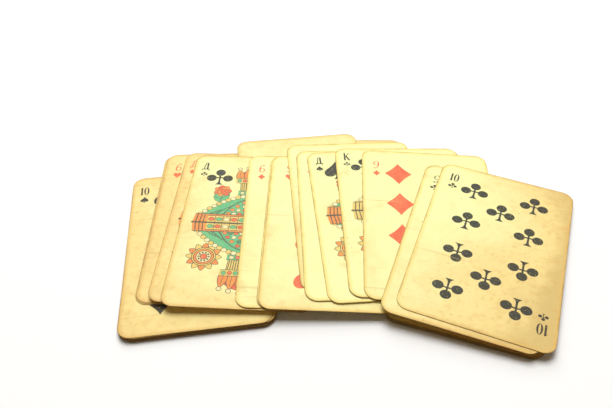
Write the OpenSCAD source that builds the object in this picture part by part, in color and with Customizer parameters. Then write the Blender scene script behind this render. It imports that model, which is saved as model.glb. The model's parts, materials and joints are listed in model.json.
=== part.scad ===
// Deck of 36 worn playing cards, spread in a loose row on a table.
// +Z is up and the player sits at -Y. The origin is the middle of the spread's footprint, on the table.

/* [Card] */
// Width of a card
card_w = 57; // [50:0.5:66]
// Length of a card
card_l = 87; // [78:0.5:96]
// Thickness of the pasteboard
card_t = 0.25; // [0.2:0.01:0.4]
// Radius of the rounded corners
corner_r = 5; // [2:0.5:9]

/* [Spread] */
// Distance along the row from the first card's centre to the last one's
spread_w = 118.5; // [60:0.5:180]
// Distance across the row from the foremost card's centre to the rearmost one's
spread_d = 31.5; // [10:0.5:50]
// Air between a card and the ones that it lies on
lay_gap = 0.02; // [0.01:0.01:0.1]

/* [Hidden] */
$fn = 48;

// How the cards were laid, from the bottom of the pile to the top.
// Each row: card, place along the row and place towards the back in percent of the spread,
// turn on the table and lean down to the right in degrees.
LAY = [
    // Squared packet at the left end, flat on the table
    ["six_of_spades", 0.5, 31, 5, 0],
    ["seven_of_spades", 0, 31, 5.5, 0],
    ["eight_of_spades", 0.5, 30, 6, 0],
    ["nine_of_spades", 0, 31, 6, 0],
    ["jack_of_spades", 0.5, 30, 5, 0],
    ["king_of_hearts", 0, 30, 5.5, 0],
    ["ten_of_hearts", 0.5, 31, 5.5, 0],
    ["ace_of_spades", 0, 31, 5, 0],
    ["eight_of_clubs", 0.5, 30, 6, 0],
    ["ten_of_spades", 0, 30, 5.5, 0],
    // Squared packet at the right end, flat on the table
    ["seven_of_clubs", 96, 1, -21, 0],
    ["ace_of_diamonds", 96.5, 2, -21.5, 0],
    ["jack_of_hearts", 96, 2, -20.5, 0],
    ["six_of_clubs", 96.5, 1, -21, 0],
    ["ten_of_diamonds", 96, 2, -21.5, 0],
    // Row that steps from the left packet over to the right one
    ["eight_of_hearts", 7, 69, -0.5, 0],
    ["six_of_hearts", 7.5, 70, -1, 0],
    ["queen_of_diamonds", 13.5, 62, -4, 2],
    ["ace_of_hearts", 53.5, 94, 0, 2.5],
    ["king_of_diamonds", 39.5, 100, 7, 2.5],
    ["queen_of_clubs", 18, 52, -4, 2.5],
    ["six_of_diamonds", 40, 51, -1.5, 3],
    ["jack_of_diamonds", 48.5, 46, -3, 3],
    ["seven_of_hearts", 47.5, 46, -3, 3],
    ["nine_of_hearts", 48, 45, -3, 3],
    ["king_of_spades", 57.5, 79, 3.5, 3],
    ["seven_of_diamonds", 60, 61, 1.5, 3],
    ["queen_of_spades", 65.5, 60, 4, 3],
    ["jack_of_clubs", 75, 62, 0.5, 3],
    ["king_of_clubs", 74.5, 63, 0.5, 3],
    ["nine_of_diamonds", 82, 52, -4.5, 3],
    // Last cards, turned aside on top of the right packet
    ["eight_of_diamonds", 95, 1, -21, 3],
    ["ace_of_clubs", 95.5, 1, -21.5, 3],
    ["queen_of_hearts", 95, 2, -20.5, 3],
    ["nine_of_clubs", 94.5, 0, -21, 3],
    ["ten_of_clubs", 100, 1, -22.5, 3],
];

// Place and attitude of card k
function along(k) = spread_w * LAY[k][1] / 100;
function back(k) = spread_d * LAY[k][2] / 100;
function turn(k) = LAY[k][3];
function lean(k) = LAY[k][4];

// Half of what a turned card spans along the row and across it, while it lies flat
function half_span(k) =
    (card_w / 2 - corner_r) * abs(cos(turn(k))) + (card_l / 2 - corner_r) * abs(sin(turn(k))) + corner_r;
function half_depth(k) =
    (card_w / 2 - corner_r) * abs(sin(turn(k))) + (card_l / 2 - corner_r) * abs(cos(turn(k))) + corner_r;

// Ends of the leaning card along the row
function left_end(k) = along(k) - half_span(k) * cos(lean(k));
function right_end(k) = along(k) + half_span(k) * cos(lean(k)) + card_t * sin(lean(k));

// How far card k has sunk below its centre at the distance x along the row
function drop(k, x) = (x - along(k)) * tan(lean(k));

// Both ends of the stretch of the row where cards i and k lie over each other
function shared_ends(i, k) =
    let (from = max(left_end(i), left_end(k)), to = min(right_end(i), right_end(k)))
    from < to ? [from, to] : [];

// Height of card k's underside at its centre: clear of the table and of every card below it
function rest_height(k, heights) = max([
    half_span(k) * sin(lean(k)),
    for (i = [0:1:k - 1])
        for (x = shared_ends(i, k))
            heights[i] - drop(i, x) + card_t / cos(lean(i)) + lay_gap + drop(k, x)
]);

// Heights of all cards, worked out from the bottom of the pile to the top
function pile(k, heights) =
    k == len(LAY) ? heights : pile(k + 1, concat(heights, [rest_height(k, heights)]));

CARDS = [0:len(LAY) - 1];
HEIGHTS = pile(0, []);

// Middle of the footprint
MID_X = (min([for (k = CARDS) left_end(k)]) + max([for (k = CARDS) right_end(k)])) / 2;
MID_Y = (min([for (k = CARDS) back(k) - half_depth(k)]) + max([for (k = CARDS) back(k) + half_depth(k)])) / 2;

// The middle of the row has kept its pale face, and the cards at both ends have gone tan
function tone(k) = LAY[k][1] > 15 && LAY[k][1] < 90 ? "lemonchiffon" : "wheat";

// Outline of every card
module outline() {
    square([card_w, card_l - 2 * corner_r], center = true);
    square([card_w - 2 * corner_r, card_l], center = true);
    for (side = [-1, 1], end = [-1, 1])
        translate([side * (card_w / 2 - corner_r), end * (card_l / 2 - corner_r)])
            circle(corner_r);
}

// Card k, face up, where it lies in the spread
module card(k) {
    color(tone(k))
        translate([along(k) - MID_X, back(k) - MID_Y, HEIGHTS[k]])
            rotate([0, lean(k), 0])
                rotate([0, 0, turn(k)])
                    linear_extrude(card_t)
                        outline();
}

for (k = CARDS)
    card(k);
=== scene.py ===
import json
import math
import random

import bpy
import numpy as np
from mathutils import Matrix, Vector
from mathutils.geometry import delaunay_2d_cdt


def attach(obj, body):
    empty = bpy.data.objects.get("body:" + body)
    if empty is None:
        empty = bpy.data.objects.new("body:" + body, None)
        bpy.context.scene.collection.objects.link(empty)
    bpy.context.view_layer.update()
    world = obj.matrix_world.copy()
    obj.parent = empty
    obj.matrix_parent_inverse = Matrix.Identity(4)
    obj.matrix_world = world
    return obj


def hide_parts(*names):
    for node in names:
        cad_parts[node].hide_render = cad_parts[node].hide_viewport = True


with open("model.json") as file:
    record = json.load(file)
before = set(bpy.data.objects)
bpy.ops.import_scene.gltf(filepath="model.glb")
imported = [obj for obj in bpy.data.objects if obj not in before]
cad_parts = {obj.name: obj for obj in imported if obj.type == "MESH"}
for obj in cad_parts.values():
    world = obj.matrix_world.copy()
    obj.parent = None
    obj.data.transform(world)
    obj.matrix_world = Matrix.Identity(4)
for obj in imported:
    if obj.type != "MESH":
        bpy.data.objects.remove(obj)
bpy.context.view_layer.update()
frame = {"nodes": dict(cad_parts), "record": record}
print("frame loaded:", len(frame["nodes"]), "cards")

mm = 0.001
planMm = 100   # the UV map of a card spans a square of this size, with the card in its middle


# Drawing on paper: every outline is a list of points in millimetres, from the middle of a card

def arc(x, y, rx, ry, start, end, steps):
    turns = [math.radians(start + (end - start) * i / steps) for i in range(steps + 1)]
    return [(x + rx * math.cos(t), y + ry * math.sin(t)) for t in turns]


def oval(x, y, rx, ry=None, steps=20):
    return arc(x, y, rx, ry or rx, 0, 360, steps)[:-1]


def curve(a, b, c, d, steps=8):  # one stretch with two handles, without its last point
    points = []
    for i in range(steps):
        t = i / steps
        u = 1 - t
        weights = (u * u * u, 3 * u * u * t, 3 * u * t * t, t * t * t)
        points.append(tuple(sum(w * p[k] for w, p in zip(weights, (a, b, c, d))) for k in (0, 1)))
    return points


def mirrored(half):  # closes a half outline that starts and ends on the middle line
    return half + [(-x, y) for x, y in reversed(half) if abs(x) > 1e-6]


def ribbon(path, start, end=None):  # a drawn line whose width runs from start to end
    end = start if end is None else end
    left, right = [], []
    for i, (x, y) in enumerate(path):
        before, after = path[max(i - 1, 0)], path[min(i + 1, len(path) - 1)]
        dx, dy = after[0] - before[0], after[1] - before[1]
        half = (start + (end - start) * i / (len(path) - 1)) / 2 / math.hypot(dx, dy)
        left.append((x - dy * half, y + dx * half))
        right.append((x + dy * half, y - dx * half))
    return right + left[::-1]


def leaf(length, width, steps=9):  # grows along +y from the origin, pointed at both ends
    belly = 0.85   # below 1 the leaf is widest under its middle
    shares = [i / steps for i in range(steps + 1)]
    half = [(-width / 2 * math.sin(math.pi * t ** belly), length * t) for t in shares]
    return half[:-1] + [(0, length)] + [(-x, y) for x, y in half[-2:0:-1]]


def grown(outline, by):  # the same outline with a rim of this width round it
    count = len(outline)
    wider = []
    for i, (x, y) in enumerate(outline):
        before, after = outline[i - 1], outline[(i + 1) % count]
        dx, dy = after[0] - before[0], after[1] - before[1]
        size = math.hypot(dx, dy) or 1
        wider.append((x + dy / size * by, y - dx / size * by))
    return wider


def leftTurning(outline):  # the triangulation takes outlines that run counter-clockwise
    pairs = zip(outline, outline[1:] + outline[:1])
    area = sum(a[0] * b[1] - b[0] * a[1] for a, b in pairs)
    return outline if area > 0 else outline[::-1]


def put(shapes, x=0, y=0, size=1, turn=0):  # the same inked shapes, scaled, turned and moved
    c, s = math.cos(math.radians(turn)) * size, math.sin(math.radians(turn)) * size
    return [(ink, [(x + c * px - s * py, y + s * px + c * py) for px, py in outline])
            for ink, outline in shapes]


def outlined(ink, outline, line=0.3):
    outline = leftTurning(outline)
    return [("keyLine", grown(outline, line)), (ink, outline)]


# Suit signs, drawn at the size of a pip

def clubSign():
    foot = [(0.4, -0.4), (0.4, -2.9), (0.62, -3.9), (1.75, -5.05)]
    stem = foot + [(-x, y) for x, y in reversed(foot)]
    arms = [(-3.6, -0.95), (-1.2, -0.5), (0, -0.35), (1.2, -0.5), (3.6, -0.95)]
    return [oval(0, 2.95, 2.15, 2.15), oval(-3.65, -0.75, 2.2, 2.1), oval(3.65, -0.75, 2.2, 2.1),
            ribbon([(0, -1), (0, 2.4)], 0.75), ribbon(arms, 0.7), stem]


def spadeSign():
    half = (curve((0, 6.0), (-0.7, 4.4), (-1.9, 3.0), (-3.4, 1.7))
            + curve((-3.4, 1.7), (-4.7, 0.6), (-5.5, -0.5), (-5.5, -1.7))
            + curve((-5.5, -1.7), (-5.5, -3.3), (-4.3, -4.1), (-3.0, -4.1))
            + curve((-3.0, -4.1), (-1.9, -4.1), (-1.0, -3.6), (-0.45, -2.7))
            + curve((-0.45, -2.7), (-0.5, -4.2), (-0.9, -5.2), (-1.9, -5.9)) + [(-1.9, -5.9)])
    return [mirrored(half)]


def heartSign():
    half = (curve((0, 3.1), (-0.5, 4.4), (-1.5, 5.1), (-2.8, 5.1))
            + curve((-2.8, 5.1), (-4.5, 5.1), (-5.5, 3.8), (-5.5, 2.2))
            + curve((-5.5, 2.2), (-5.5, -0.9), (-1.8, -2.4), (0, -5.6)) + [(0, -5.6)])
    return [mirrored(half)]


def diamondSign():
    corners = [(0, 6.8), (-6.0, 0), (0, -6.8), (6.0, 0)]
    bend = 0.44   # at 0.5 the sides would be straight: they bend in a little
    outline = []
    for a, b in zip(corners, corners[1:] + corners[:1]):
        middle = ((a[0] + b[0]) * bend, (a[1] + b[1]) * bend)
        outline += curve(a, middle, middle, b)
    return [outline]


suits = {
    "clubs": {"ink": "blackInk", "sign": clubSign()},
    "spades": {"ink": "blackInk", "sign": spadeSign()},
    "hearts": {"ink": "redInk", "sign": heartSign()},
    "diamonds": {"ink": "redInk", "sign": diamondSign()},
}


# Rank signs of the corner index: thin figures and letters with thick and thin strokes, 5 mm tall

def figureSix():
    tail = curve((-0.98, -0.9), (-1.05, 0.8), (-0.5, 2.2), (0.75, 2.45)) + [(0.75, 2.45)]
    return [("ink", oval(0, -1.05, 1.3, 1.5)), ("facePaper", oval(0.06, -1.05, 0.78, 1.28)),
            ("ink", ribbon(tail, 0.6, 0.22)), ("ink", oval(0.82, 2.1, 0.36))]


def figureSeven():
    leg = curve((1.2, 2.3), (0.5, 0.8), (-0.25, -0.6), (-0.3, -2.5)) + [(-0.3, -2.5)]
    return [("ink", ribbon([(-1.25, 2.2), (1.3, 2.2)], 0.55)), ("ink", ribbon(leg, 0.3, 0.75)),
            ("ink", ribbon([(-1.15, 2.3), (-1.2, 1.3)], 0.25))]


def figureEight():
    return [("ink", oval(0, 1.3, 1.12, 1.25)), ("facePaper", oval(0, 1.3, 0.6, 1.05)),
            ("ink", oval(0, -1.15, 1.35, 1.4)), ("facePaper", oval(0, -1.15, 0.78, 1.18))]


def figureTen():
    one = [(-1.75, -2.5), (-1.0, -2.5), (-1.0, 2.5), (-1.4, 2.5), (-2.1, 1.85), (-2.1, 1.65), (-1.75, 1.85)]
    return [("ink", one), ("ink", oval(0.7, 0, 1.15, 2.55)), ("facePaper", oval(0.7, 0, 0.45, 2.3))]


def letterBars(*bars):  # straight strokes, each from one point to another with its width
    return [("ink", ribbon([a, b], width)) for a, b, width in bars]


rankSigns = {
    "six": figureSix(),
    "seven": figureSeven(),
    "eight": figureEight(),
    "nine": put(figureSix(), turn=180),
    "ten": figureTen(),
    "jack": letterBars(((-0.9, -2.6), (-0.9, 2.6), 0.78))
            + [("ink", oval(0, 1.3, 1.15, 1.35)), ("facePaper", oval(-0.05, 1.3, 0.52, 1.0)),
               ("ink", oval(0.1, -1.2, 1.35, 1.45)), ("facePaper", oval(0.05, -1.2, 0.64, 1.12))],
    "queen": letterBars(((0.68, -1.6), (0.68, 2.6), 0.75), ((-0.2, 2.5), (-0.8, -1.6), 0.42),
                        ((-0.35, 2.45), (1.05, 2.45), 0.32), ((-1.6, -1.8), (1.6, -1.8), 0.48),
                        ((-1.45, -1.7), (-1.45, -2.75), 0.4), ((1.45, -1.7), (1.45, -2.75), 0.4)),
    "king": letterBars(((-0.9, -2.6), (-0.9, 2.6), 0.76), ((-0.6, -0.1), (1.1, 2.6), 0.35),
                       ((-0.3, 0.4), (1.2, -2.6), 0.72)),
    "ace": letterBars(((0, -2.6), (0, 2.6), 0.78), ((-1.4, 2.4), (1.4, 2.4), 0.4),
                      ((-1.3, 2.4), (-1.3, 1.45), 0.32), ((1.3, 2.4), (1.3, 1.45), 0.32)),
}


# Face layout shared by all cards, in millimetres from the middle of the card

faceLayout = {
    "index": {"rank": (-22.3, 34.4), "suit": (-22.3, 28.8), "size": 0.32},
    "courtIndex": {"rank": (-23.2, 35.3), "suit": (-23.4, 30.2), "size": 0.27},
    "diamondIndex": 0.87,   # a diamond is tall: its sign in the corner is smaller
    "column": 12.6,
    "outerRow": 28.9,
    "innerRow": 9.5,
    "tenRow": 19.3,
    "sevenRow": 14.3,
    "acePip": 1.7,
    "courtPipAt": (-16.0, 28.5),
}


def pipPlaces(rank):
    lay = faceLayout
    sides = (-lay["column"], lay["column"])
    outer, inner = lay["outerRow"], lay["innerRow"]
    threeRows = [(x, y) for y in (outer, 0, -outer) for x in sides]
    fourRows = [(x, y) for y in (outer, inner, -inner, -outer) for x in sides]
    return {
        "six": threeRows,
        "seven": threeRows + [(0, lay["sevenRow"])],
        "eight": threeRows + [(0, lay["sevenRow"]), (0, -lay["sevenRow"])],
        "nine": fourRows + [(0, 0)],
        "ten": fourRows + [(0, lay["tenRow"]), (0, -lay["tenRow"])],
    }.get(rank, [])


def bothEnds(shapes):  # the card reads the same from both ends
    return shapes + put(shapes, turn=180)


# Court ornament: draped fan, jewelled belt, rosette, flower and crowned column, the same from both ends

courtStyles = {
    "queen": {"points": 5, "cloth": "greenInk", "fold": "deepGreenInk", "yoke": "greenInk",
              "cuff": "orangeInk"},
    "king": {"points": 7, "cloth": "orangeInk", "fold": "redInk", "yoke": "greenInk", "cuff": "goldInk"},
    "jack": {"points": 3, "cloth": "goldInk", "fold": "orangeInk", "yoke": "greenInk", "cuff": "redInk"},
}


def beadRow(path, inks, wide, tall, turns=None):  # outlined beads at these points, in turning colours
    shapes = []
    for i, (x, y) in enumerate(path):
        bead = outlined(inks[i % len(inks)], oval(0, 0, wide, tall, 12), 0.2)
        shapes += put(bead, x, y, turn=turns[i] if turns else 0)
    return shapes


def drapedFan(style):
    dome = curve((0, 16.5), (-8, 16), (-15, 11), (-21, 4.2)) + [(-21, 4.2), (-21, 0.2), (0, 0.2)]
    shapes = outlined(style["cloth"], mirrored(dome), 0.4)
    for i in range(-6, 7):  # the folds run down from the top and widen
        top = (i * 1.5, 15.2 - 0.16 * i * i)
        foot = (i * 3.2, 3.6)
        middle = ((top[0] + foot[0]) / 2, (top[1] + foot[1]) / 2 + 0.4)
        width = 1.5 if i % 2 else 0.5
        ink = style["fold"] if i % 2 else "keyLine"
        shapes.append((ink, ribbon([top, middle, foot], 0.2, width)))
    hem = curve((-21, 4.8), (-15, 11.6), (-8, 16.6), (0, 17.1), 11) + [(0, 17.1)]
    hem += [(-x, y) for x, y in reversed(hem[:-1])]
    shapes += beadRow(hem, ("goldInk", "creamInk"), 1.05, 0.95)
    yoke = curve((0, 14.6), (-5, 14.4), (-9, 10), (-11.5, 4.2)) + [(-11.5, 4.2), (0, 4.2)]
    shapes += outlined(style["yoke"], mirrored(yoke), 0.45)
    for row, (half, y) in enumerate(((9.2, 5.6), (7.8, 7.9), (5.8, 10.2), (3.2, 12.5))):
        count = 9 - 2 * row
        places = [(-half + 2 * half * i / (count - 1), y) for i in range(count)]
        shapes += beadRow(places, ("orangeInk", "creamInk", "redInk", "deepGreenInk"), 0.85, 0.8)
    return shapes


def jewelBelt(style):
    half, cuff, height = 17.5, 23.6, 3.9
    band = [(-cuff, 0.3), (cuff, 0.3), (cuff - 0.8, height + 0.9), (-cuff + 0.8, height + 0.9)]
    shapes = outlined(style["cuff"], band, 0.4)
    shapes += [("keyLine", ribbon([(side * x, 0.4), (side * (x - 0.5), height + 0.8)], 0.45))
               for side in (-1, 1) for x in (19.2, 20.6, 22.2)]
    shapes += outlined("goldInk", [(-half, 0.3), (half, 0.3), (half, height), (-half, height)], 0.35)
    count = 11
    jewels = [(-half + 2 * half * (i + 0.5) / count, height / 2 + 0.15) for i in range(count)]
    shapes += beadRow(jewels, ("redInk", "greenInk", "creamInk"), 1.15, 0.95)
    shapes += [("keyLine", ribbon([(x + half / count, 0.5), (x + half / count, height - 0.2)], 0.3))
               for x, _ in jewels[:-1]]
    return shapes


def rosette(x, y, radius):
    shapes = []
    for turn in range(0, 360, 30):
        petal = outlined(("orangeInk", "goldInk")[turn // 30 % 2], leaf(radius * 0.75, radius * 0.5), 0.25)
        shapes += put(put(petal, y=radius * 0.8), turn=turn)
    for ink, share in (("goldInk", 1), ("orangeInk", 0.84), ("creamInk", 0.62), ("redInk", 0.26)):
        shapes += outlined(ink, oval(0, 0, radius * share, steps=24), 0.3)
    ring = [(radius * 0.45 * math.cos(math.radians(t)), radius * 0.45 * math.sin(math.radians(t)))
            for t in range(0, 360, 36)]
    shapes += [("keyLine", oval(px, py, 0.45, steps=8)) for px, py in ring]
    return put(shapes, x, y)


def flowerSprig(across, foot, tall):
    stem = curve((0, 0), (-0.9, tall * 0.3), (0.9, tall * 0.6), (0, tall)) + [(0, tall)]
    shapes = [("keyLine", ribbon(stem, 0.5, 0.35))]
    for turn, at in ((44, 0.1), (-44, 0.25), (44, 0.45), (-44, 0.6)):
        shapes += put(outlined("greenInk", leaf(5.0, 2.1), 0.22), y=tall * at, turn=turn)
    for ring, size, count in ((2.6, 1.25, 7), (1.4, 1.05, 5), (0, 0.9, 1)):
        for i in range(count):
            turn = math.tau * i / count
            x, y = ring * math.cos(turn), tall + 1.6 + ring * 0.9 * math.sin(turn)
            shapes += outlined(("redInk", "orangeInk")[i % 2], oval(x, y, size, size * 0.9, 10), 0.16)
    return put(shapes, across, foot)


def crownedColumn(style):
    shapes = outlined("goldInk", [(-5.2, 14.5), (5.2, 14.5), (6.2, 26), (-6.2, 26)], 0.4)
    shapes += [("keyLine", ribbon([(i * 0.8, 15), (i * 0.95, 25.6)], 0.36)) for i in range(-6, 7)]
    shapes += outlined(style["cloth"], [(-6.6, 17.5), (6.6, 17.5), (6.6, 19.8), (-6.6, 19.8)], 0.3)
    shapes += beadRow([(x * 2.4, 18.65) for x in (-2, -1, 0, 1, 2)], ("creamInk", "redInk"), 0.85, 0.75)
    points, foot, half = style["points"], 25.2, 8.2
    cap = curve((0, foot + 9.5), (-4, foot + 9), (-half, foot + 6), (-half + 1, foot + 2))
    shapes += outlined("redInk", mirrored(cap + [(-half + 1, foot + 2), (0, foot + 2)]))
    for i in range(points):
        place = i - (points - 1) / 2
        tall = 10 - abs(place) * 4.5 / points
        spike = outlined("orangeInk", leaf(tall, 2 * half / points * 1.05), 0.28)
        spike += [("keyLine", ribbon([(0, 2), (0, tall * 0.8)], 0.22))]
        spike += outlined("creamInk", oval(0, tall + 0.5, 0.85, steps=12), 0.25)
        shapes += put(spike, place * 1.92 * half / points, foot + 0.6, turn=-place * 22 / points)
    band = [(-half, foot), (half, foot), (half + 0.4, foot + 2.8), (-half - 0.4, foot + 2.8)]
    shapes += outlined("goldInk", band)
    shapes += beadRow([(x * 2.3, foot + 1.4) for x in range(-3, 4)], ("greenInk", "redInk"), 0.8, 0.9)
    return shapes


courtLayout = {
    "sprig": (-13.5, 12.0, 6.0),    # across, up, height
    "rosette": (15.8, 18.8, 4.6),   # across, up, radius
    "midLine": (24, 0.9),           # half length, width
}


def courtFace(rank):
    style, lay = courtStyles[rank], courtLayout
    upper = flowerSprig(*lay["sprig"]) + crownedColumn(style) + rosette(*lay["rosette"])
    upper += drapedFan(style) + jewelBelt(style)
    half, width = lay["midLine"]
    return bothEnds(upper) + [("keyLine", ribbon([(-half, 0), (half, 0)], width))]


offPrint = {   # mm to the right and up: some sheets were cut out of register
    "ten_of_spades": (-0.6, 0.2),
    "queen_of_diamonds": (-0.6, 0),
    "king_of_diamonds": (0, -5.8),
    "king_of_spades": (0, -3.5),
    "nine_of_hearts": (2.2, 0.5),
    "queen_of_spades": (0, 2.0),
    "king_of_clubs": (0, 2.2),
    "nine_of_diamonds": (0.3, -1.2),
    "ten_of_clubs": (0.5, 0.6),
}


def cardFace(node):
    rank, suit = node.split("_of_")
    lay, ink = faceLayout, suits[suit]["ink"]
    pip = [(ink, outline) for outline in suits[suit]["sign"]]
    sign = [(ink if part == "ink" else part, outline) for part, outline in rankSigns[rank]]
    index = lay["courtIndex" if rank in courtStyles else "index"]
    small = index["size"] * (lay["diamondIndex"] if suit == "diamonds" else 1)
    corner = put(sign, *index["rank"]) + put(pip, *index["suit"], size=small)
    shapes = []
    if rank in courtStyles:
        shapes += courtFace(rank)
        corner += put(pip, *lay["courtPipAt"])
    elif rank == "ace":
        shapes += put(pip, size=lay["acePip"])
    for x, y in pipPlaces(rank):
        shapes += put(pip, x, y, turn=180 if y < 0 else 0)  # the lower half stands on its head
    return put(shapes + bothEnds(corner), *offPrint.get(node, (0, 0)))


# Finishes

def hexColor(text):  # sRGB hex to the linear colour that the shader takes
    parts = [int(text[i:i + 2], 16) / 255 for i in (1, 3, 5)]
    return [c / 12.92 if c <= 0.04045 else ((c + 0.055) / 1.055) ** 2.4 for c in parts] + [1]


def addNode(tree, kind, inputs, out=0, **settings):  # gives the socket to link from
    made = tree.nodes.new("ShaderNode" + kind)
    for name, value in settings.items():
        setattr(made, name, value)
    for socket, value in inputs.items():
        if isinstance(value, bpy.types.NodeSocket):
            tree.links.new(value, made.inputs[socket])
        else:
            made.inputs[socket].default_value = value
    return made.outputs[out]


def newMaterial(name):
    material = bpy.data.materials.new(name)
    material.use_nodes = True
    tree = material.node_tree
    return material, tree, tree.nodes["Principled BSDF"]


soft = {"interpolation_type": "SMOOTHSTEP"}   # settings that many nodes share
colors = {"data_type": "RGBA", "out": 2}

agedPaper = {
    "pale": "#FFFCB4",
    "tan": "#FBE194",
    "deep": "#E0C27A",
    "edgePale": "#FFE67E",
    "edgeTan": "#E8C06C",
    "edgeBrown": "#A5763A",
    "fibre": "#DDAA55",
    "stain": "#DDAA55",
    "grime": "#DDAA55",
    "speck": "#B08A48",
    # creases are painted as darker lines: grime in the fold, and painted shade of the fold
    "crease": "#D2A860",
    "cloudMm": 34,
    "mottleMm": 6,
    "stainMm": 11,
    "grimeMm": 2.2,
    "speckMm": 1.1,
    "wearMm": 0.7,
    "fibreMm": (9, 0.8),              # real fibres are finer: drawn coarse enough to show
    "creaseMm": (55, 2.2),            # lies across the card, where it was bent in the hand; its line is painted darker, as grime and painted shade of the fold
    "edgeYellowingAndShadeMm": 11,                  # the outer part is tan: yellowed by fingers, and painted shade along the edges
    "edgeYellowingAndShadeTint": 0.15,
    "cloudShare": 0.8,                # how far clouds and mottling sway the tone
    "mottleShare": 0.3,
    "tanTone": (0.55, 1.3),           # pale below, tan above
    "deepTone": (1.25, 1.65),         # tan below, deep tan above
    "raggedMm": 1.6,                  # how far the bands along the rim sway
    "goldBand": (0.9, 3.0, 0.8),      # mm from, mm to, strength at the edge
    "brownBand": (0.65, 1.5, 0.6),
    "fibreShows": (0.5, 0.8, 0.07),   # noise from, noise to, strength where it is high
    "stainShows": (0.56, 0.78, 0.35),
    "grimeShows": (0.45, 0.75, 0.3),
    "speckShows": (0.69, 0.76, 0.45),
    "creaseShows": (0.7, 0.76, 0.3),
    "wearShows": (0.56, 0.74, 1),
}


def paperLayer(tree, size, radius):
    # yellowed, handled pasteboard: warm cloudy face, brown worn rim, fibres, stains, specks and faint
    # creases. Part of the tan is painted shade: in a wide band along the edges, along the creases and in the
    # tone that slopes across the card
    look = agedPaper
    plan = addNode(tree, "UVMap", {}, uv_map="cardPlan")
    shift = (-planMm / 2, -planMm / 2, 0)
    place = addNode(tree, "Mapping", {0: plan, "Location": shift, "Scale": (planMm, planMm, 1)})
    seed = addNode(tree, "Attribute", {}, out="Fac", attribute_name="cardSeed")
    ageAndShade = addNode(tree, "Attribute", {}, out="Fac", attribute_name="cardAgeAndShade")
    apart = addNode(tree, "CombineXYZ", {"Z": seed})
    spot = addNode(tree, "VectorMath", {0: place, 1: apart}, operation="ADD")

    noises = {}
    for mark, detail in (("cloud", 2), ("mottle", 4), ("stain", 5), ("grime", 3), ("speck", 2), ("wear", 3)):
        inputs = {"Vector": spot, "Scale": 1 / look[mark + "Mm"], "Detail": detail}
        noises[mark] = addNode(tree, "TexNoise", inputs)
    for mark, detail in (("fibre", 3), ("crease", 1)):   # drawn out across the card
        wide, tall = look[mark + "Mm"]
        streaks = addNode(tree, "Mapping", {0: spot, "Scale": (1 / wide, 1 / tall, 1)})
        noises[mark] = addNode(tree, "TexNoise", {"Vector": streaks, "Scale": 1, "Detail": detail})
    amounts = {}
    for mark in ("fibre", "stain", "grime", "speck", "crease", "wear"):
        low, high, most = look[mark + "Shows"]
        amounts[mark] = addNode(tree, "MapRange", {0: noises[mark], 1: low, 2: high, 4: most}, **soft)
    wear = amounts.pop("wear")

    # distance from the card's edge, in a narrow band and in a wide one
    folded = addNode(tree, "VectorMath", {0: place}, operation="ABSOLUTE")
    insides = []
    for band in (radius, look["edgeYellowingAndShadeMm"]):
        core = (size[0] / 2 - band, size[1] / 2 - band, 0)
        past = addNode(tree, "VectorMath", {0: folded, 1: core}, operation="SUBTRACT")
        inRim = addNode(tree, "VectorMath", {0: past, 1: (0, 0, 0)}, operation="MAXIMUM")
        reach = addNode(tree, "VectorMath", {0: inRim}, out="Value", operation="LENGTH")
        insides.append(addNode(tree, "Math", {0: band, 1: reach}, operation="SUBTRACT"))
    inputs = {0: noises["mottle"], 1: look["raggedMm"], 2: insides[0]}
    ragged = addNode(tree, "Math", inputs, operation="MULTIPLY_ADD")
    # a wide band turns tan towards the edge: yellowing, and painted shade along the card's edges
    inputs = {0: insides[1], 2: look["edgeYellowingAndShadeMm"], 3: look["edgeYellowingAndShadeTint"], 4: 0}
    edgeYellowingAndShade = addNode(tree, "MapRange", inputs, **soft)
    bands = {}
    for band in ("goldBand", "brownBand"):
        low, high, most = look[band]
        bands[band] = addNode(tree, "MapRange", {0: ragged, 1: low, 2: high, 3: most, 4: 0}, **soft)

    # pale or tan by age and painted shade, then the rim, and what years of play have left on it, with painted
    # shade along the creases
    toned = addNode(tree, "Math", {0: ageAndShade, 1: edgeYellowingAndShade}, operation="ADD")
    for noise in ("cloud", "mottle"):
        inputs = {0: noises[noise], 1: look[noise + "Share"], 2: toned}
        toned = addNode(tree, "Math", inputs, operation="MULTIPLY_ADD")
    tone, old = [addNode(tree, "MapRange", {0: toned, 1: look[step][0], 2: look[step][1]}, **soft)
                 for step in ("tanTone", "deepTone")]
    face = addNode(tree, "Mix", {0: tone, 6: hexColor(look["pale"]), 7: hexColor(look["tan"])}, **colors)
    face = addNode(tree, "Mix", {0: old, 6: face, 7: hexColor(look["deep"])}, **colors)
    rimColors = {6: hexColor(look["edgePale"]), 7: hexColor(look["edgeTan"])}
    rim = addNode(tree, "Mix", {0: tone, **rimColors}, **colors)
    color = addNode(tree, "Mix", {0: bands["goldBand"], 6: face, 7: rim}, **colors)
    amounts["grime"] = addNode(tree, "Math", {0: amounts["grime"], 1: tone}, operation="MULTIPLY")
    for mark, amount in amounts.items():
        color = addNode(tree, "Mix", {0: amount, 6: color, 7: hexColor(look[mark])}, **colors)
    inputs = {0: bands["brownBand"], 6: color, 7: hexColor(look["edgeBrown"])}
    color = addNode(tree, "Mix", inputs, **colors)
    return {"color": color, "wear": wear, "folds": amounts["crease"],
            "mottle": noises["mottle"], "place": place}


paperGloss = {
    "pressMm": 0.8,          # calendered grain, felt rather than seen
    "reliefMm": 0.06,
    "relief": 0.25,
    "mottle": (0.3, 0.7),    # the dull patches follow the mottling
    "rough": (0.5, 0.68),
    "ior": 1.47,
    "specular": 0.35,
}


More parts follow.
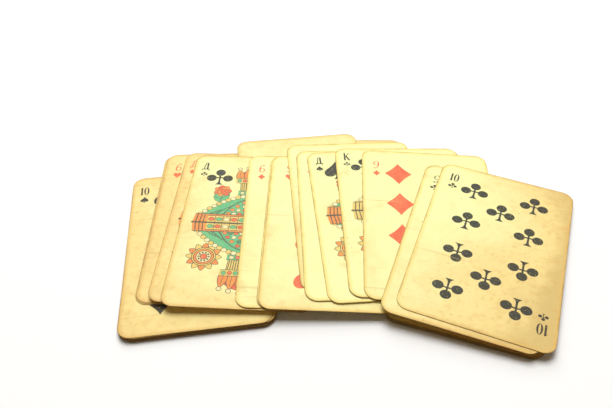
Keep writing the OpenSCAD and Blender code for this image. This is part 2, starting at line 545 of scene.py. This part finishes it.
def paperShine(tree, shader, layer):
    look = paperGloss
    spot = addNode(tree, "TexCoord", {}, out="Object")
    grain = addNode(tree, "TexNoise", {"Vector": spot, "Scale": 1 / (look["pressMm"] * mm), "Detail": 2})
    inputs = {"Height": grain, "Strength": look["relief"], "Distance": look["reliefMm"] * mm}
    tree.links.new(addNode(tree, "Bump", inputs), shader.inputs["Normal"])
    low, high = look["mottle"]
    least, most = look["rough"]
    rough = addNode(tree, "MapRange", {0: layer["mottle"], 1: low, 2: high, 3: least, 4: most}, **soft)
    tree.links.new(rough, shader.inputs["Roughness"])
    shader.inputs["IOR"].default_value = look["ior"]
    shader.inputs["Specular IOR Level"].default_value = look["specular"]


def bareFace(size, radius):
    # laminated pasteboard, calendered: a dull sheen, yellowed and handled, with painted shade in its tan
    material, tree, shader = newMaterial("laminated pasteboard")
    layer = paperLayer(tree, size, radius)
    tree.links.new(layer["color"], shader.inputs["Base Color"])
    paperShine(tree, shader, layer)
    return material


inks = {   # name, fresh colour, worn colour, how well it covers
    "blackInk": ("black letterpress ink", "#1C1E16", "#303228", 0.98),
    "redInk": ("vermilion letterpress ink", "#EC5636", "#F6724A", 0.94),
    "keyLine": ("brown-black key line ink", "#3E382C", "#5C503A", 0.95),
    "greenInk": ("green letterpress ink", "#4CB87C", "#74C88C", 0.94),
    "deepGreenInk": ("deep green letterpress ink", "#2F7D5C", "#4C9870", 0.94),
    "orangeInk": ("orange letterpress ink", "#F28438", "#F8A050", 0.94),
    "goldInk": ("ochre letterpress ink", "#EBC25A", "#F3D678", 0.85),
    "creamInk": ("cream letterpress ink", "#F8EBC0", "#F3DFA6", 0.6),
}
inkWear = {"patchy": (0.35, 0.68), "rubbedOff": 0.3, "creasedOff": 0.5}


def printedInk(name, freshHex, wornHex, cover, size, radius):
    # letterpress ink on the board: mottled, rubbed thin in specks so that the paper shows
    material, tree, shader = newMaterial(name)
    layer = paperLayer(tree, size, radius)
    low, high = inkWear["patchy"]
    patch = addNode(tree, "MapRange", {0: layer["mottle"], 1: low, 2: high}, **soft)
    ink = addNode(tree, "Mix", {0: patch, 6: hexColor(freshHex), 7: hexColor(wornHex)}, **colors)
    hold = cover
    for lost, share in (("wear", "rubbedOff"), ("folds", "creasedOff")):
        hold = addNode(tree, "Math", {0: layer[lost], 1: -inkWear[share], 2: hold}, operation="MULTIPLY_ADD")
    shown = addNode(tree, "Mix", {0: hold, 6: layer["color"], 7: ink}, **colors)
    tree.links.new(shown, shader.inputs["Base Color"])
    paperShine(tree, shader, layer)
    return material


# dark and light browns of the cut edge: soil, and painted shade that deepens the band under the cards' front
# edges
cutBoard = {"dark": "#56421E", "light": "#906E36", "streakMm": (4, 4, 0.09), "rough": 0.85}


def cutRim():
    # cut edge of the board: matt, dark with handling, its layers in fine streaks; its browns are also
    # darkened as painted shade, for the band under the cards' front edges
    material, tree, shader = newMaterial("soiled cut board with painted shade")
    spot = addNode(tree, "TexCoord", {}, out="Object")
    scale = [1 / (size * mm) for size in cutBoard["streakMm"]]
    streaks = addNode(tree, "Mapping", {0: spot, "Scale": scale})
    layers = addNode(tree, "TexNoise", {"Vector": streaks, "Scale": 1, "Detail": 2})
    inputs = {0: layers, 6: hexColor(cutBoard["dark"]), 7: hexColor(cutBoard["light"])}
    tree.links.new(addNode(tree, "Mix", inputs, **colors), shader.inputs["Base Color"])
    shader.inputs["Roughness"].default_value = cutBoard["rough"]
    return material


backPrint = {
    "ink": "#A9574A",
    "worn": "#C08468",
    "cellMm": 5.0,
    "lineMm": (0.2, 0.3),    # full ink up to the first half width, none past the second
    "dotMm": (0.85, 0.7),    # none past the first half width, full ink within the second
    "frameMm": 4.0,
    "frameSoftMm": 0.1,
    "cover": 0.9,
    "rubbedOff": 0.4,
}


def latticeBack(size, radius):
    # plain lattice of crossed lines and dots, with a bare frame round it, on the same aged board
    look = backPrint
    material, tree, shader = newMaterial("lattice printed pasteboard")
    layer = paperLayer(tree, size, radius)
    turned = addNode(tree, "VectorRotate", {0: layer["place"], "Angle": math.pi / 4}, rotation_type="Z_AXIS")
    half = look["cellMm"] / 2
    slant = addNode(tree, "SeparateXYZ", {0: turned}).node.outputs
    folds = [addNode(tree, "Math", {0: slant[k], 1: half}, operation="PINGPONG") for k in (0, 1)]
    nearest = addNode(tree, "Math", {0: folds[0], 1: folds[1]}, operation="MINIMUM")
    low, high = look["lineMm"]
    web = addNode(tree, "MapRange", {0: nearest, 1: low, 2: high, 3: 1, 4: 0}, **soft)
    low, high = [half - reach for reach in look["dotMm"]]
    dots = addNode(tree, "MapRange", {0: nearest, 1: low, 2: high}, **soft)
    drawn = addNode(tree, "Math", {0: web, 1: dots}, operation="MAXIMUM")
    axes = addNode(tree, "SeparateXYZ", {0: layer["place"]}).node.outputs
    for k in (0, 1):
        edge = size[k] / 2 - look["frameMm"]
        away = addNode(tree, "Math", {0: axes[k]}, operation="ABSOLUTE")
        inputs = {0: away, 1: edge, 2: edge + look["frameSoftMm"], 3: 1, 4: 0}
        field = addNode(tree, "MapRange", inputs, **soft)
        drawn = addNode(tree, "Math", {0: drawn, 1: field}, operation="MULTIPLY")
    inputs = {0: layer["wear"], 1: -look["rubbedOff"], 2: look["cover"]}
    hold = addNode(tree, "Math", inputs, operation="MULTIPLY_ADD")
    hold = addNode(tree, "Math", {0: hold, 1: drawn}, operation="MULTIPLY")
    inkColors = {6: hexColor(look["ink"]), 7: hexColor(look["worn"])}
    ink = addNode(tree, "Mix", {0: layer["mottle"], **inkColors}, **colors)
    shown = addNode(tree, "Mix", {0: hold, 6: layer["color"], 7: ink}, **colors)
    tree.links.new(shown, shader.inputs["Base Color"])
    paperShine(tree, shader, layer)
    return material


# Cards

cardStock = {
    "cornerSteps": 9,
    "cornerRadius": 5.0,
    "rimRound": 0.06,   # the cut edge is worn round by this much
    "rimSteps": 2,
    "level": 0.99,      # the front and the back have a normal at least this upright
    "weld": 0.002,      # joins the sheet to the board
}


def cardAxes(node):
    # a CAD card is a thin slab: its printed side and its long side give the axes
    faces = node.data.polygons
    up = max(faces, key=lambda f: f.area * f.normal.z).normal.copy()
    rim = [f for f in faces if abs(f.normal.dot(up)) < 0.5]
    across = max(rim, key=lambda f: f.area).normal.copy()
    across = (across - up * across.dot(up)).normalized()
    if across.x < 0:
        across.negate()
    along = up.cross(across)
    spans = []
    for axis in (across, along, up):
        reach = [v.co.dot(axis) for v in node.data.vertices]
        spans.append((min(reach), max(reach)))
    middle = sum((axis * (low + high) / 2 for axis, (low, high) in zip((across, along, up), spans)), Vector())
    turn = Matrix((across, along, up)).transposed().to_4x4()
    return Matrix.Translation(middle) @ turn, [(high - low) / mm for low, high in spans]


def editSelected(mesh, elements, keep, kind):
    # selects in code what the next operators work on
    bpy.ops.object.mode_set(mode="EDIT")
    bpy.ops.mesh.select_mode(type=kind)
    bpy.ops.mesh.select_all(action="DESELECT")
    bpy.ops.object.mode_set(mode="OBJECT")
    for element in getattr(mesh, elements):
        element.select = keep(element)
    bpy.ops.object.mode_set(mode="EDIT")


def blankCard(size):
    width, length, thick = size
    bpy.ops.object.select_all(action="DESELECT")
    bpy.ops.mesh.primitive_plane_add(size=1, calc_uvs=False)
    blank = bpy.context.object
    blank.name = "blankCard"
    mesh = blank.data
    bpy.ops.object.mode_set(mode="EDIT")
    bpy.ops.mesh.select_all(action="SELECT")
    bpy.ops.transform.resize(value=(width, length, 1))
    bpy.ops.transform.translate(value=(0, 0, -thick / 2))
    bpy.ops.mesh.bevel(offset=cardStock["cornerRadius"], segments=cardStock["cornerSteps"], affect="VERTICES")
    bpy.ops.mesh.select_all(action="SELECT")
    bpy.ops.mesh.extrude_region_move(TRANSFORM_OT_translate={"value": (0, 0, thick)})
    bpy.ops.mesh.select_all(action="SELECT")
    bpy.ops.mesh.normals_make_consistent(inside=False)

    def runsLevel(edge):
        low, high = [mesh.vertices[i].co.z for i in edge.vertices]
        return abs(high - low) < thick / 4

    def isFront(face):
        return face.normal.z > cardStock["level"]

    editSelected(mesh, "edges", runsLevel, "EDGE")
    bpy.ops.mesh.bevel(offset=cardStock["rimRound"], segments=cardStock["rimSteps"], affect="EDGES")
    bpy.ops.object.mode_set(mode="OBJECT")
    outline = [tuple(mesh.vertices[i].co.xy) for f in mesh.polygons if isFront(f) for i in f.vertices]
    editSelected(mesh, "polygons", isFront, "FACE")
    bpy.ops.mesh.delete(type="ONLY_FACE")  # the printed sheet closes this side
    bpy.ops.object.mode_set(mode="OBJECT")
    return blank, outline


def within(outline, places):  # which of these places lie inside the outline
    corners = np.array(outline)
    near = np.nonzero(((places > corners.min(axis=0)) & (places < corners.max(axis=0))).all(axis=1))[0]
    x, y = places[near].T
    inside = np.zeros(len(near), bool)
    for (ax, ay), (bx, by) in zip(outline, outline[1:] + outline[:1]):
        if ay != by:
            inside ^= ((ay > y) != (by > y)) & (x < (bx - ax) * (y - ay) / (by - ay) + ax)
    return near[inside]


def printedSheet(name, outline, shapes, height, slotOf):
    # one flat sheet, cut along every printed outline: where shapes overlap, the last one drawn shows
    points, loops = [], []
    for shape in [outline] + [shape for ink, shape in shapes]:
        shape = leftTurning(list(shape))
        loops.append(list(range(len(points), len(points) + len(shape))))
        points += [Vector(p) for p in shape]
    wholeSheet, tolerance = 0, 1e-5   # triangles out to the edge, points this close are one
    corners, _, faces, _, _, _ = delaunay_2d_cdt(points, [], loops, wholeSheet, tolerance)
    flat = np.array([(p.x, p.y) for p in corners])
    middles = flat[np.array(faces)].mean(axis=1)
    inkAt = np.full(len(faces), slotOf["facePaper"])
    for ink, shape in shapes:
        inkAt[within(shape, middles)] = slotOf[ink]
    mesh = bpy.data.meshes.new(name)
    mesh.from_pydata([(x, y, height) for x, y in flat], [], faces)
    mesh.polygons.foreach_set("material_index", inkAt.astype(np.int32))
    mesh.polygons.foreach_set("use_smooth", np.zeros(len(faces), bool))
    sheet = bpy.data.objects.new(name, mesh)
    bpy.context.scene.collection.objects.link(sheet)
    return sheet


def makeCard(node, blank, outline, size, finishes, ageAndShade, ageAndShadeSlope, seed):
    shapes = cardFace(node)
    used = ["facePaper", "cutRim", "latticeBack"]
    used += [ink for ink in finishes if ink not in used and ink in {s[0] for s in shapes}]
    slotOf = {ink: i for i, ink in enumerate(used)}
    sheet = printedSheet("printed_" + node, outline, shapes, size[2] / 2, slotOf)
    board = blank.copy()
    board.data = blank.data.copy()
    bpy.context.scene.collection.objects.link(board)
    for polygon in board.data.polygons:
        lies = polygon.normal.z < -cardStock["level"]
        polygon.material_index = slotOf["latticeBack" if lies else "cutRim"]
        polygon.use_smooth = not lies
    for ink in used:
        sheet.data.materials.append(finishes[ink])
        board.data.materials.append(finishes[ink])
    bpy.ops.object.select_all(action="DESELECT")
    board.select_set(True)
    sheet.select_set(True)
    bpy.context.view_layer.objects.active = sheet
    bpy.ops.object.join()
    bpy.ops.object.mode_set(mode="EDIT")
    bpy.ops.mesh.select_all(action="SELECT")
    bpy.ops.mesh.remove_doubles(threshold=cardStock["weld"])
    bpy.ops.object.mode_set(mode="OBJECT")
    mesh = sheet.data
    plan = mesh.uv_layers.new(name="cardPlan")
    for loop, place in zip(mesh.loops, plan.data):
        x, y, _ = mesh.vertices[loop.vertex_index].co
        place.uv = (x / planMm + 0.5, y / planMm + 0.5)
    # the tone slopes across the card by the side values: ageing, and painted shade of the light falling off
    # away from the middle of the fan
    slant = (ageAndShadeSlope[0] / (size[0] / 2), ageAndShadeSlope[1] / (size[1] / 2))
    agesAndShade = [ageAndShade + slant[0] * vertex.co.x + slant[1] * vertex.co.y for vertex in mesh.vertices]
    for name, values in (("cardAgeAndShade", agesAndShade), ("cardSeed", [seed] * len(agesAndShade))):
        mesh.attributes.new(name, "FLOAT", "POINT").data.foreach_set("value", values)
    return sheet


# The packets at both ends are tan, and each card turns tan towards its outer side and its front: older board,
# and painted shade of the light falling off away from the middle of the fan.
deckAgeAndShade = {   # "side" is the change of age and painted shade from a card's middle to its right edge and to its back edge
    "seed": 36,
    "row": {"ageAndShade": 0.02, "side": (0.0, -0.16)},
    "leftPacket": {"ageAndShade": 0.47, "side": (-0.1, -0.05)},
    "rightPacket": {"ageAndShade": 0.49, "side": (0.52, -0.16)},
    "own": {"king_of_diamonds": 0.42, "ace_of_hearts": 0.42, "queen_of_clubs": 0.28,
            "seven_of_diamonds": -0.2, "queen_of_spades": -0.16, "king_of_clubs": -0.16},
    "chance": 0.05,        # from card to card
    "patternStep": 17.0,   # keeps the stains of two cards apart
}

places, sizes = {}, {}
for nodeName, nodeObject in frame["nodes"].items():
    places[nodeName], sizes[nodeName] = cardAxes(nodeObject)
cardSize = sizes["six_of_spades"]
print("card size in mm:", [round(s, 3) for s in cardSize])

stock = (cardSize, cardStock["cornerRadius"])
finishes = {
    "facePaper": bareFace(*stock),
    "cutRim": cutRim(),
    "latticeBack": latticeBack(*stock),
}
for ink, look in inks.items():
    finishes[ink] = printedInk(*look, *stock)
print("finishes made:", len(finishes))

blank, outline = blankCard(cardSize)
slots = {part["node"]: part["material_slot"] for part in frame["record"]["subparts"]}
chance = random.Random(deckAgeAndShade["seed"])
for number, nodeName in enumerate(frame["nodes"]):
    group = "row"
    if slots[nodeName] == "tan_pasteboard":
        group = "leftPacket" if places[nodeName].translation.x < 0 else "rightPacket"
    # the group's tone, partly painted shade at the ends of the fan, with each card's own tone and a random
    # change from card to card
    ageAndShade = deckAgeAndShade[group]["ageAndShade"] + deckAgeAndShade["own"].get(nodeName, 0)
    ageAndShade += chance.uniform(-1, 1) * deckAgeAndShade["chance"]
    pattern = deckAgeAndShade["patternStep"] * number
    card = makeCard(nodeName, blank, outline, cardSize, finishes, ageAndShade, deckAgeAndShade[group]["side"], pattern)
    card.data.transform(places[nodeName] @ Matrix.Scale(mm, 4))
    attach(card, nodeName)
    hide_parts(nodeName)
bpy.data.objects.remove(blank)
print("cards printed:", len(frame["nodes"]))


# Table, light and camera

studio = {
    "tableSize": 8,           # m
    "tableDrop": 0.1 * mm,    # keeps it clear of the lowest card
    "tableRough": 0.7,
    "tableHex": "#FFFFFF",
    "bounceHex": "#C8BCA8",   # what the table throws back under the cards
    "fade": (0.22, 0.6),      # m from the middle: the table runs out into a white backdrop
    "fillHex": "#FFEFD0",     # warm light thrown back by the room
    "fillLevel": 0.13,
    "lamps": {
        "overhead": {"at": (0.0, 0.45, 1.45), "size": 0.9, "power": 20.0},
        "behind": {"at": (-0.1, 1.0, 0.9), "size": 0.8, "power": 4.6},   # its shadow falls towards the camera
    },
}


def seenRays(tree):  # rays that show the backdrop, straight or by a reflection
    rays = addNode(tree, "LightPath", {}).node.outputs
    seen = rays["Is Camera Ray"]
    for ray in ("Is Glossy Ray", "Is Transmission Ray"):
        seen = addNode(tree, "Math", {0: seen, 1: rays[ray]}, operation="MAXIMUM")
    return seen


def makeTable():
    bpy.ops.object.select_all(action="DESELECT")
    bpy.ops.mesh.primitive_plane_add(size=studio["tableSize"], location=(0, 0, -studio["tableDrop"]))
    table = bpy.context.object
    table.name = "table"
    material, tree, shader = newMaterial("matt white laminate")
    seen = seenRays(tree)
    inputs = {0: seen, 6: hexColor(studio["bounceHex"]), 7: hexColor(studio["tableHex"])}
    tree.links.new(addNode(tree, "Mix", inputs, **colors), shader.inputs["Base Color"])
    shader.inputs["Roughness"].default_value = studio["tableRough"]
    spot = addNode(tree, "TexCoord", {}, out="Object")
    away = addNode(tree, "VectorMath", {0: spot}, out="Value", operation="LENGTH")
    far = addNode(tree, "MapRange", {0: away, 1: studio["fade"][0], 2: studio["fade"][1]}, **soft)
    far = addNode(tree, "Math", {0: far, 1: seen}, operation="MULTIPLY")
    white = addNode(tree, "Emission", {"Color": hexColor(studio["tableHex"]), "Strength": 1})
    top = addNode(tree, "MixShader", {0: far, 1: shader.outputs[0], 2: white})
    tree.links.new(top, tree.nodes["Material Output"].inputs["Surface"])
    table.data.materials.append(material)


def makeLight():
    world = bpy.data.worlds.new("studio")
    bpy.context.scene.world = world
    world.use_nodes = True
    tree = world.node_tree
    fill = [part * studio["fillLevel"] for part in hexColor(studio["fillHex"])]
    sky = addNode(tree, "Mix", {0: seenRays(tree), 6: fill, 7: (1, 1, 1, 1)}, **colors)
    tree.links.new(sky, tree.nodes["Background"].inputs["Color"])
    for name, look in studio["lamps"].items():
        lamp = bpy.data.lights.new(name, "AREA")
        lamp.energy = look["power"]
        lamp.size = look["size"]
        lit = bpy.data.objects.new(name, lamp)
        lit.location = look["at"]
        lit.rotation_euler = Vector(look["at"]).to_track_quat("Z", "Y").to_euler()
        bpy.context.scene.collection.objects.link(lit)


viewPoint = {
    "at": (-18.41, -181.23, 192.0),   # mm
    "down": 43.87,
    "roll": -2.06,
    "lens": 37.14,
    "sensor": 36,
    "near": 10,                       # mm
}


def makeCamera():
    lens = bpy.data.cameras.new("camera")
    lens.lens = viewPoint["lens"]
    lens.sensor_width = viewPoint["sensor"]
    lens.sensor_fit = "HORIZONTAL"
    lens.clip_start = viewPoint["near"] * mm
    camera = bpy.data.objects.new("camera", lens)
    tilt = Matrix.Rotation(math.radians(90 - viewPoint["down"]), 4, "X")
    roll = Matrix.Rotation(math.radians(viewPoint["roll"]), 4, "Z")
    camera.matrix_world = Matrix.Translation(Vector(viewPoint["at"]) * mm) @ tilt @ roll
    bpy.context.scene.collection.objects.link(camera)
    bpy.context.scene.camera = camera


makeTable()
makeLight()
makeCamera()
bpy.context.scene.view_settings.view_transform = "Standard"
print("table, light and camera set")
